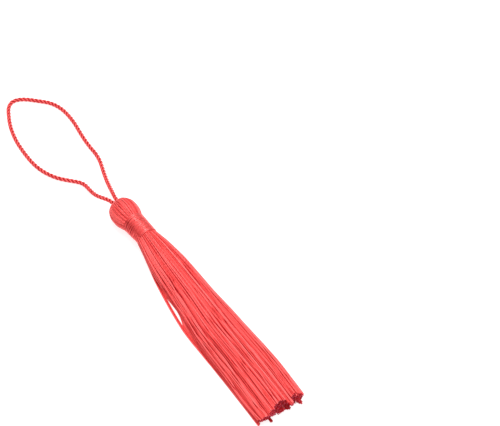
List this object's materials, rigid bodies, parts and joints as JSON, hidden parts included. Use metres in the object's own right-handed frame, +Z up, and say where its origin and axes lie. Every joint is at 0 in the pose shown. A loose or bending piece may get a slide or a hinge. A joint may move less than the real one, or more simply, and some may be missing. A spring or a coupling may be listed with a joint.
{
  "type": "silk tassel",
  "caption": "Silky thread tassel lying flat, with a round mop head, a bound neck, a long skirt of cut strands and a twisted hanging loop",
  "frame": {"origin": "on the surface the tassel lies on, under the middle of its bounding box, the hanging loop left out", "axes": "+X runs from the head to the cut ends of the skirt, +Y is across the skirt, +Z is up"},
  "size_m": [0.1987, 0.0296, 0.0114],
  "materials": {
    "silk_thread": "lustrous twisted rayon silk thread, coral red",
    "binding_thread": "the same thread wound in close shiny turns",
    "twisted_cord": "three-ply twisted silky cord, coral red"
  },
  "bodies": {
    "root": {"head_and_skirt": "silk_thread", "neck_wrap": "binding_thread", "hanging_loop": "twisted_cord"}
  },
  "joints": []
}
